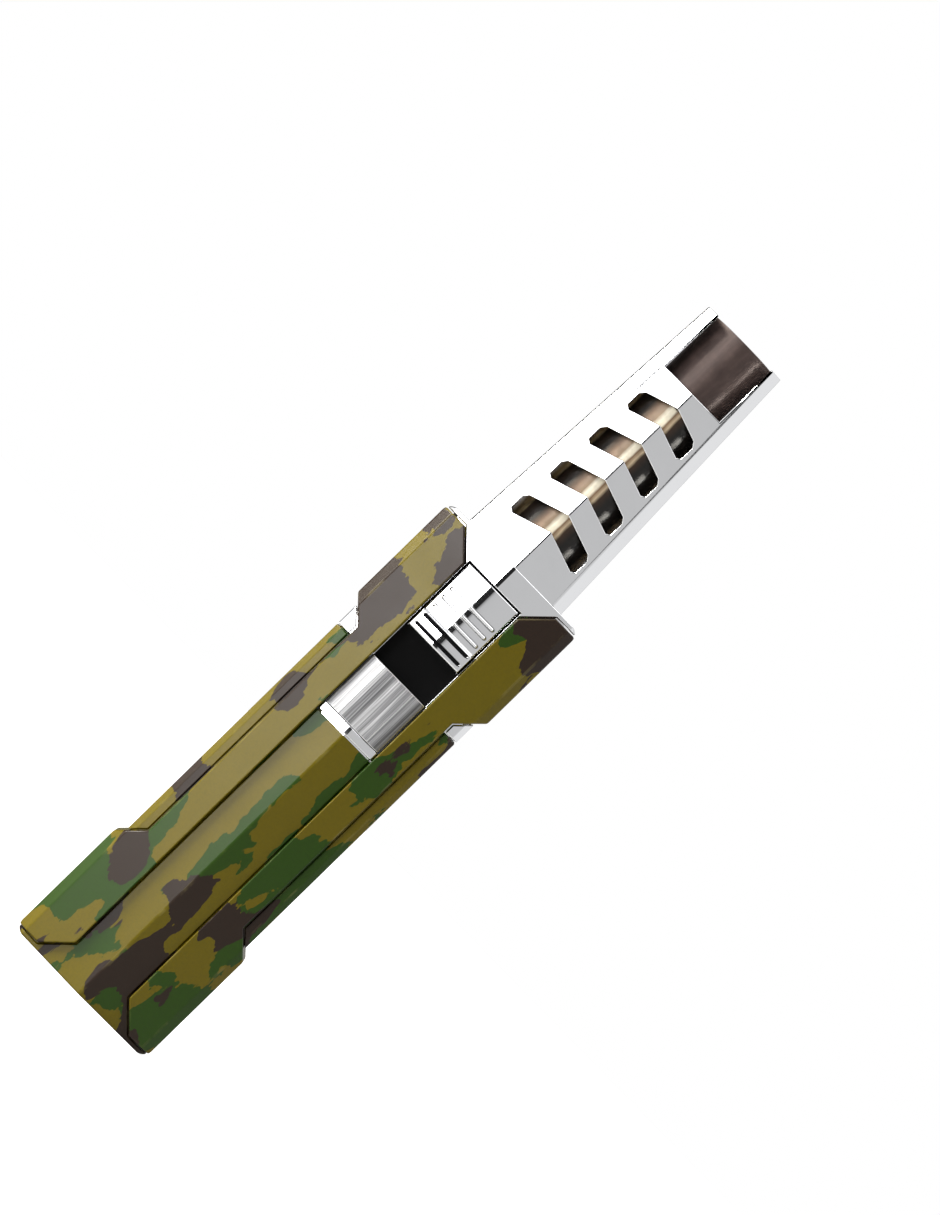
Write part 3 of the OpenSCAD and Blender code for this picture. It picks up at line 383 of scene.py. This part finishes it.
def skinOf(work):  # the convex skin round a mesh, to tell its outer edges from its inner ones
    shell = bmesh.new()
    for vertex in work.verts:
        shell.verts.new(vertex.co)
    made = bmesh.ops.convex_hull(shell, input=shell.verts)
    loose = {item for item in made["geom_interior"] if isinstance(item, bmesh.types.BMVert)}
    bmesh.ops.delete(shell, geom=list(loose), context="VERTS")
    tree = BVHTree.FromBMesh(shell)
    shell.free()
    return tree


def plainNormals(mesh):  # smooth shading with nothing left over from the CAD mesh
    for attribute in ("custom_normal", "sharp_edge", "sharp_face"):
        if attribute in mesh.attributes:
            mesh.attributes.remove(mesh.attributes[attribute])
    mesh.shade_smooth()


def steadyNormals(mesh, angle):  # flat faces shaded flat, rounded edges shaded from one face to the next
    limit = math.cos(math.radians(angle))
    around = {}
    for face in mesh.polygons:
        for vertex in face.vertices:
            around.setdefault(vertex, ([], []))[face.material_index].append(face)

    def shared(vertex, face):
        near = [other for other in around[vertex][0] if other.normal.dot(face.normal) > limit]
        return sum((other.normal * other.area for other in near), Vector()).normalized()

    normals = [None] * len(mesh.loops)
    for face in mesh.polygons:
        for corner, vertex in zip(face.loop_indices, face.vertices):
            flat, rounded = around[vertex]
            if flat:
                own = face if face.material_index == 0 else max(flat, key=lambda other: other.area)
                normals[corner] = shared(vertex, own)
            else:
                normals[corner] = sum((other.normal * other.area for other in rounded), Vector()).normalized()
    mesh.normals_split_custom_set(normals)


softRule = {
    "reach": 0.6,      # how near the convex skin an outer edge lies, in millimetres
    "angle": 20,       # sharpest bend that stays smooth, in degrees
    "segments": 3,
    "longEdge": 12.0,  # an upright edge longer than this is a corner, in millimetres
    "centred": 0.01,   # how near the middle the ridge line lies, in millimetres
}


def softened(node, width, ridge, corner):  # a copy with its outer edges rounded
    cfg = softRule
    mesh, work = mergedCopy(node, node + "_soft")
    skin = skinOf(work)
    centre = (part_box(node)[0].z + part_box(node)[1].z) / 2
    widest = max(width, ridge, corner)
    weight = work.edges.layers.float.new("bevel_weight_edge")
    for edge in work.edges:
        middle = (edge.verts[0].co + edge.verts[1].co) / 2
        inward = Vector((0, 0, mm if middle.z < centre else -mm))
        outside = all(skin.find_nearest(spot)[3] < cfg["reach"] * mm for spot in (middle, middle + inward))
        if outside and len(edge.link_faces) == 2 and edge.calc_face_angle(0) > math.radians(cfg["angle"]):
            onRidge = all(abs(vertex.co.x) < cfg["centred"] * mm for vertex in edge.verts)
            upright = abs((edge.verts[0].co - edge.verts[1].co).normalized().z) > 0.9
            long = edge.calc_length() > cfg["longEdge"] * mm
            edge[weight] = (ridge if onRidge and upright else corner if upright and long else width) / widest
    work.to_mesh(mesh)
    work.free()
    plainNormals(mesh)
    mesh.materials.clear()
    for slot in range(2):  # 0 for the flat faces, 1 for the rounded ones
        mesh.materials.append(finishFor(node))
    piece = bpy.data.objects.new(node + "_finished", mesh)
    scene.collection.objects.link(piece)
    bevel = piece.modifiers.new("rounding", "BEVEL")
    bevel.width = widest
    bevel.segments = cfg["segments"]
    bevel.limit_method = "WEIGHT"
    bevel.use_clamp_overlap = False
    bevel.material = 1
    settle(piece)
    steadyNormals(piece.data, cfg["angle"])
    # the rounded-edge mask: worn paint on the camo, painted highlight on the brushed plate
    worn = piece.data.attributes.new("edgeWear", "FLOAT", "CORNER")
    for face in piece.data.polygons:
        for loop in face.loop_indices:
            worn.data[loop].value = face.material_index
        face.material_index = 0
    return piece


softSettings = {  # width of the rounded edges, of the ridge line and of the long corners, in millimetres
    "body_casing": (0.2, 0.3, 0.2), "left_grip": (0.28, 0.28, 0.28), "right_grip": (0.28, 0.28, 0.28),
    "upper_chassis": (0.16, 0.4, 0.16), "nozzle_shroud": (0.16, 0.16, 0.4), "front_plate": (0.12, 0.12, 0.12),
    "base_plate": (0.12, 0.12, 0.12), "flame_guard": (0.1, 0.1, 0.1), "heat_shield": (0.06, 0.06, 0.06),
}
for node, widths in softSettings.items():
    dress(softened(node, *(width * mm for width in widths)), node)
print("stage: main shells softened")

slideSettings = {  # in millimetres, but for the slope in degrees and the shades from 0 to 1
    "grain": 0.1,       # spacing of the surface points
    "slope": 14.0,      # of the two faces
    "ridgeRound": 0.3,
    "rim": 0.28,        # rounding round the slide's border
    "ribs": 3, "ribPitch": 1.93, "ribDrop": 5.1, "ribHigh": 0.3, "ribHalf": 0.28, "ribShort": 1.0,
    "ribShade": 0.9, "shadeAt": 1.2, "shadeReach": 0.45,
    "catchTall": 4.3, "catchRamp": 0.55,
    "grooves": (1.45, 3.35), "grooveHalf": 0.33, "grooveFloor": 0.2, "grooveWall": 0.12,
    "sharpAngle": 50.0,
}


def ease(value):  # 0 to 1 with soft ends
    value = min(1.0, max(0.0, value))
    return value * value * (3 - 2 * value)


def slideSurface(x, z, low, high, half, ridge, lift):  # where the front stands at a point, and its shade
    cfg = slideSettings
    side = abs(x)
    fall = math.tan(math.radians(cfg["slope"]))
    front = ridge - (math.hypot(side, cfg["ridgeRound"]) - cfg["ridgeRound"]) * fall
    inner = half - cfg["ribShort"]
    dark = 0.0
    for rib in range(cfg["ribs"]):
        away = abs(z - (high - cfg["ribDrop"] - rib * cfg["ribPitch"]))
        past = max(0.0, side - inner)
        reach = math.hypot(away, past) / cfg["ribHalf"]
        if reach < 1:
            front += cfg["ribHigh"] * math.sqrt(1 - reach * reach)
        dark = max(dark, cfg["ribShade"] * ease(1 - abs(reach - cfg["shadeAt"]) / cfg["shadeReach"]))
    up = z - low
    front += lift * ease(up / cfg["catchRamp"]) * ease((cfg["catchTall"] - up) / cfg["catchRamp"])
    floor = ridge - inner * fall + cfg["grooveFloor"]
    for groove in cfg["grooves"]:
        reach = math.hypot(up - groove, max(0.0, side - inner))
        share = ease((cfg["grooveHalf"] - reach) / cfg["grooveWall"])
        front += (floor - front) * share
        dark = max(dark, share)
    edge = min(half - side, z - low, high - z)
    if edge < cfg["rim"]:
        front -= cfg["rim"] - math.sqrt(cfg["rim"] ** 2 - (cfg["rim"] - edge) ** 2)
    return front, dark


def makeSlide():
    cfg = slideSettings
    lowCorner, highCorner = (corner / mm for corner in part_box("thumb_slide"))
    half, low, high = highCorner.x, lowCorner.z, highCorner.z
    ridge = -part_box("body_casing")[0].y / mm
    lift = -lowCorner.y - ridge
    columns = round(2 * half / cfg["grain"])
    rows = round((high - low) / cfg["grain"])
    work = bmesh.new()
    shade = work.verts.layers.float.new("grooveShade")  # painted shade: 1 on the floor of the grooves, up to 0.9 in lines round the ribs
    grid = []
    for row in range(rows + 1):
        z = low + (high - low) * row / rows
        grid.append([])
        for column in range(columns + 1):
            x = half * (2 * column / columns - 1)
            front, dark = slideSurface(x, z, low, high, half, ridge, lift)
            grid[-1].append(work.verts.new((x * mm, -front * mm, z * mm)))
            grid[-1][-1][shade] = dark
    for row in range(rows):
        for column in range(columns):
            work.faces.new((grid[row][column], grid[row][column + 1], grid[row + 1][column + 1],
                            grid[row + 1][column]))
    rim = grid[0][:-1] + [line[-1] for line in grid[:-1]] + grid[-1][:0:-1] + [line[0] for line in grid[:0:-1]]
    back = []
    for vertex in rim:
        back.append(work.verts.new((vertex.co.x, highCorner.y * mm, vertex.co.z)))
        back[-1][shade] = vertex[shade]
    for place in range(len(rim)):
        work.faces.new((rim[place - 1], back[place - 1], back[place], rim[place]))
    work.faces.new(back)
    bmesh.ops.recalc_face_normals(work, faces=work.faces)
    mesh = bpy.data.meshes.new("thumbSlide")
    work.to_mesh(mesh)
    work.free()
    mesh.shade_smooth()
    piece = bpy.data.objects.new("thumb_slide_finished", mesh)
    scene.collection.objects.link(piece)
    mesh.set_sharp_from_angle(angle=math.radians(cfg["sharpAngle"]))
    return piece


dress(makeSlide(), "thumb_slide", makeChrome("polishedSlide", True))
print("stage: thumb slide sculpted")


def startTree(name, inputs):  # an empty tree with its named inputs
    tree = bpy.data.node_groups.new(name, "GeometryNodeTree")
    tree.interface.new_socket("Geometry", in_out="INPUT", socket_type="NodeSocketGeometry")
    for label, kind in inputs:
        tree.interface.new_socket(label, in_out="INPUT", socket_type="NodeSocket" + kind)
    tree.interface.new_socket("Geometry", in_out="OUTPUT", socket_type="NodeSocketGeometry")
    return tree, tree.nodes.new("NodeGroupInput").outputs


def endTree(tree, given, shape):  # puts the shape in its place, makes it real and gives it its finish
    link = tree.links.new
    move = tree.nodes.new("GeometryNodeTransform")
    link(shape, move.inputs["Geometry"])
    link(given["Place"], move.inputs["Translation"])
    real = tree.nodes.new("GeometryNodeRealizeInstances")
    link(move.outputs[0], real.inputs[0])
    paint = tree.nodes.new("GeometryNodeSetMaterial")
    link(real.outputs[0], paint.inputs["Geometry"])
    link(given["Finish"], paint.inputs["Material"])
    link(paint.outputs[0], tree.nodes.new("NodeGroupOutput").inputs[0])
    return tree


def makeCoilTree():  # a coil of wire between two heights
    tree, given = startTree("coilSpring", [
        ("Turns", "Float"), ("Coil Radius", "Float"), ("Wire Radius", "Float"), ("Height", "Float"),
        ("Place", "Vector"), ("Finish", "Material")])
    link = tree.links.new
    spiral = tree.nodes.new("GeometryNodeCurveSpiral")
    spiral.inputs["Resolution"].default_value = 24
    link(given["Turns"], spiral.inputs["Rotations"])
    link(given["Coil Radius"], spiral.inputs["Start Radius"])
    link(given["Coil Radius"], spiral.inputs["End Radius"])
    link(given["Height"], spiral.inputs["Height"])
    wire = tree.nodes.new("GeometryNodeCurvePrimitiveCircle")
    wire.inputs["Resolution"].default_value = 8
    link(given["Wire Radius"], wire.inputs["Radius"])
    sweep = tree.nodes.new("GeometryNodeCurveToMesh")
    sweep.inputs["Fill Caps"].default_value = True
    link(spiral.outputs[0], sweep.inputs[0])
    link(wire.outputs[0], sweep.inputs[1])
    return endTree(tree, given, sweep.outputs[0])


def makeKnurlTree():  # a ring of upright teeth
    tree, given = startTree("knurledRim", [
        ("Teeth", "Int"), ("Rim Radius", "Float"), ("Tooth Radius", "Float"), ("Height", "Float"),
        ("Place", "Vector"), ("Finish", "Material")])
    link = tree.links.new
    rim = tree.nodes.new("GeometryNodeMeshCircle")
    link(given["Teeth"], rim.inputs["Vertices"])
    link(given["Rim Radius"], rim.inputs["Radius"])
    tooth = tree.nodes.new("GeometryNodeMeshCylinder")
    tooth.inputs["Vertices"].default_value = 8
    link(given["Tooth Radius"], tooth.inputs["Radius"])
    link(given["Height"], tooth.inputs["Depth"])
    spread = tree.nodes.new("GeometryNodeInstanceOnPoints")
    link(rim.outputs[0], spread.inputs["Points"])
    link(tooth.outputs[0], spread.inputs["Instance"])
    return endTree(tree, given, spread.outputs[0])


def grow(name, tree, values):  # runs a tree with its named inputs and keeps the plain mesh
    piece = bpy.data.objects.new(name, bpy.data.meshes.new(name))
    scene.collection.objects.link(piece)
    modifier = piece.modifiers.new("grow", "NODES")
    modifier.node_group = tree
    for item in tree.interface.items_tree:
        if item.in_out == "INPUT" and item.name in values:
            modifier[item.identifier] = values[item.name]
    settle(piece)
    piece.data.shade_smooth()
    return piece


springSettings = {  # turns, wire radius in millimetres, joint that squeezes it, and if its top end stays put
    "plunger_spring": (9, 0.17, "plunger_press", False),
    "hammer_spring": (12, 0.2, "plunger_press", False),
    "valve_spring": (4.5, 0.18, "valve_lift", True),
    "refill_spring": (7, 0.18, "refill_press", True),
}
travel = {joint["name"]: max(joint.get("range_m", [0])) for joint in behaviour["joints"]}


def squeeze(piece, node, joint):
    low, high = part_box(node)
    keep = 1 - travel[joint] / (high.z - low.z)
    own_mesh(piece)


coilTree = makeCoilTree()
for node, (turns, wire, joint, topStays) in springSettings.items():
    low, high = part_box(node)
    radius = (high.x - low.x) / 2 - wire * mm
    place = ((low.x + high.x) / 2, (low.y + high.y) / 2, low.z + wire * mm)
    spring = grow(node + "_coil", coilTree, {
        "Turns": turns, "Coil Radius": radius, "Wire Radius": wire * mm,
        "Height": high.z - low.z - 2 * wire * mm, "Place": place, "Finish": finishFor(node)})
    dress(spring, node)
    squeeze(spring, node, joint)

knurlSettings = {"teeth": 40, "tooth": 0.16, "clear": 0.25}
low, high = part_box("adjuster_knob")
knurl = grow("adjuster_knob_knurl", makeKnurlTree(), {
    "Teeth": knurlSettings["teeth"], "Tooth Radius": knurlSettings["tooth"] * mm,
    "Rim Radius": (high.x - low.x) / 2, "Height": (high.z - low.z) - 2 * knurlSettings["clear"] * mm,
    "Place": ((low.x + high.x) / 2, (low.y + high.y) / 2, (low.z + high.z) / 2),
    "Finish": finishFor("adjuster_knob")})
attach(knurl, bodyOf["adjuster_knob"])
print("stage: springs and knurl grown")


tubeSharpAngle = 50.0  # keeps the tubes' cut ends sharp


def smoothed(node):  # a merged copy of a tube, shaded round
    mesh, work = mergedCopy(node, node + "_smooth")
    work.to_mesh(mesh)
    work.free()
    plainNormals(mesh)
    mesh.set_sharp_from_angle(angle=math.radians(tubeSharpAngle))
    piece = bpy.data.objects.new(node + "_finished", mesh)
    scene.collection.objects.link(piece)
    return piece


for node in ("gas_hose", "ignition_lead"):
    tube = dress(smoothed(node), node)
    if node == "gas_hose":
        squeeze(tube, node, "valve_lift")

replaced = set(softSettings) | set(springSettings) | {"thumb_slide", "gas_hose", "ignition_lead"}
for node in sorted(set(nodes) - replaced):
    mesh = nodes[node].data
    mesh.materials.clear()
    mesh.materials.append(finishFor(node))
print("stage: inner pieces finished")


stageSettings = {"tone": 0.62, "reach": 2.0, "glow": 0.85, "bounce": 0.0}  # the glow is for the eye only


def makeFloor():
    cfg = stageSettings
    mesh = bpy.data.meshes.new("paleFloor")
    reach = cfg["reach"]
    corners = [(-reach, -reach, 0), (reach, -reach, 0), (reach, reach, 0), (-reach, reach, 0)]
    mesh.from_pydata(corners, [], [(0, 1, 2, 3)])
    floor = bpy.data.objects.new("paleFloor", mesh)
    scene.collection.objects.link(floor)
    f = Finish("paleFloorPaint")
    speck = f.noise(f.place, 6, 3)
    tone = f.mix(speck, (cfg["tone"],) * 3, (cfg["tone"] * 0.985,) * 3)
    seen = f.node("ShaderNodeLightPath", {}, {}, "Is Camera Ray")
    mesh.materials.append(f.set(colour=tone, roughness=0.9, specular=0.1, glowStrength=cfg["glow"],
                                glow=f.mix(seen, (cfg["bounce"],) * 3, (1.0, 1.0, 1.0))))


makeFloor()

worldSettings = {  # brightness of the room round the torch, by direction: 0.5 is in front, 0.25 its left
    "stops": [(0.0, 0.30), (0.03, 0.03), (0.232, 0.03), (0.242, 1.15), (0.40, 1.15), (0.432, 0.02),
              (0.562, 0.02), (0.575, 0.56), (0.66, 0.60), (0.76, 0.85), (0.90, 0.75), (1.0, 0.30)],
    "backdrop": 1.0,
    "ceiling": 0.9,
    "ceilingFrom": 0.5, "ceilingFull": 0.8,
}


def makeWorld():
    cfg = worldSettings
    world = bpy.data.worlds.new("studioRoom")
    scene.world = world
    world.use_nodes = True
    tree = world.node_tree
    tree.nodes.clear()
    link = tree.links.new

    def node(kind, operation=None, *values):
        made = tree.nodes.new(kind)
        if operation:
            made.operation = operation
        for socket, value in zip(made.inputs, values):
            if hasattr(value, "is_linked"):
                link(value, socket)
            else:
                socket.default_value = value
        return made

    split = node("ShaderNodeSeparateXYZ", None, node("ShaderNodeTexCoord").outputs["Generated"])
    behind = node("ShaderNodeMath", "MULTIPLY", split.outputs["Y"], -1.0)
    angle = node("ShaderNodeMath", "ARCTAN2", split.outputs["X"], behind.outputs[0])
    share = node("ShaderNodeMath", "DIVIDE", angle.outputs[0], 2 * math.pi)
    turn = node("ShaderNodeMath", "ADD", share.outputs[0], 0.5)
    ramp = node("ShaderNodeValToRGB", None, turn.outputs[0])
    elements = ramp.color_ramp.elements
    while len(elements) < len(cfg["stops"]):
        elements.new(0.5)
    for element, (spot, level) in zip(elements, cfg["stops"]):
        element.position = spot
        element.color = (level, level, level, 1.0)
    high = tree.nodes.new("ShaderNodeMapRange")
    high.interpolation_type = "SMOOTHSTEP"
    high.inputs["From Min"].default_value = cfg["ceilingFrom"]
    high.inputs["From Max"].default_value = cfg["ceilingFull"]
    link(split.outputs["Z"], high.inputs["Value"])
    room = tree.nodes.new("ShaderNodeMix")
    room.data_type = "RGBA"
    link(high.outputs[0], room.inputs[0])
    link(ramp.outputs[0], room.inputs[6])
    room.inputs[7].default_value = (cfg["ceiling"],) * 3 + (1.0,)
    seen = tree.nodes.new("ShaderNodeMix")
    seen.data_type = "RGBA"
    link(tree.nodes.new("ShaderNodeLightPath").outputs["Is Camera Ray"], seen.inputs[0])
    link(room.outputs[2], seen.inputs[6])
    seen.inputs[7].default_value = (cfg["backdrop"],) * 3 + (1.0,)
    background = node("ShaderNodeBackground", None, seen.outputs[2])
    link(background.outputs[0], tree.nodes.new("ShaderNodeOutputWorld").inputs[0])


makeWorld()


softboxSettings = {  # place, width and height in metres, power in watts, colour
    "leftSoftbox": ((-0.65, -1.06, 0.12), 0.3, 0.8, 8.0, (1.0, 1.0, 1.0)),
    "keySoftbox": ((-1.35, -0.28, 0.45), 0.6, 0.6, 42.0, (1.0, 0.97, 0.88)),
    "topSoftbox": ((0.2, -0.4, 1.6), 1.2, 1.2, 6.0, (1.0, 1.0, 1.0)),
}
torchMiddle = (0, 0, 0.08)


def softbox(name, place, width, height, power, colour):  # an area light that looks at the torch
    data = bpy.data.lights.new(name, "AREA")
    data.shape = "RECTANGLE"
    data.size = width
    data.size_y = height
    data.energy = power
    data.color = colour
    lamp = bpy.data.objects.new(name, data)
    scene.collection.objects.link(lamp)
    lamp.location = place
    lamp.rotation_euler = (Vector(torchMiddle) - Vector(place)).to_track_quat("-Z", "Y").to_euler()


for name, values in softboxSettings.items():
    softbox(name, *values)

cameraSettings = {
    "roll": 45.7,            # degrees that the torch leans to the right
    "lookX": -0.0005,        # point in the middle of the picture
    "lookZ": 0.0914,
    "tall": 0.2016,          # height of the picture at the torch's front
    "lens": 260.0,
    "sensor": 36.0,
}


def makeCamera():
    cfg = cameraSettings
    data = bpy.data.cameras.new("studioCamera")
    data.lens = cfg["lens"]
    data.sensor_width = cfg["sensor"]
    data.clip_end = 50
    camera = bpy.data.objects.new("studioCamera", data)
    scene.collection.objects.link(camera)
    front = cadBox[0].y
    away = cfg["tall"] / 2 / (cfg["sensor"] / 2 / cfg["lens"])
    camera.location = (cfg["lookX"], front - away, cfg["lookZ"])
    camera.rotation_mode = "QUATERNION"
    facing = Vector((0, 1, 0)).to_track_quat("-Z", "Y")
    turn = Quaternion((0, 1, 0), math.radians(-cfg["roll"]))
    camera.rotation_quaternion = turn @ facing
    scene.camera = camera


makeCamera()
scene.view_settings.view_transform = "Standard"
print("stage: floor, lights and camera set")
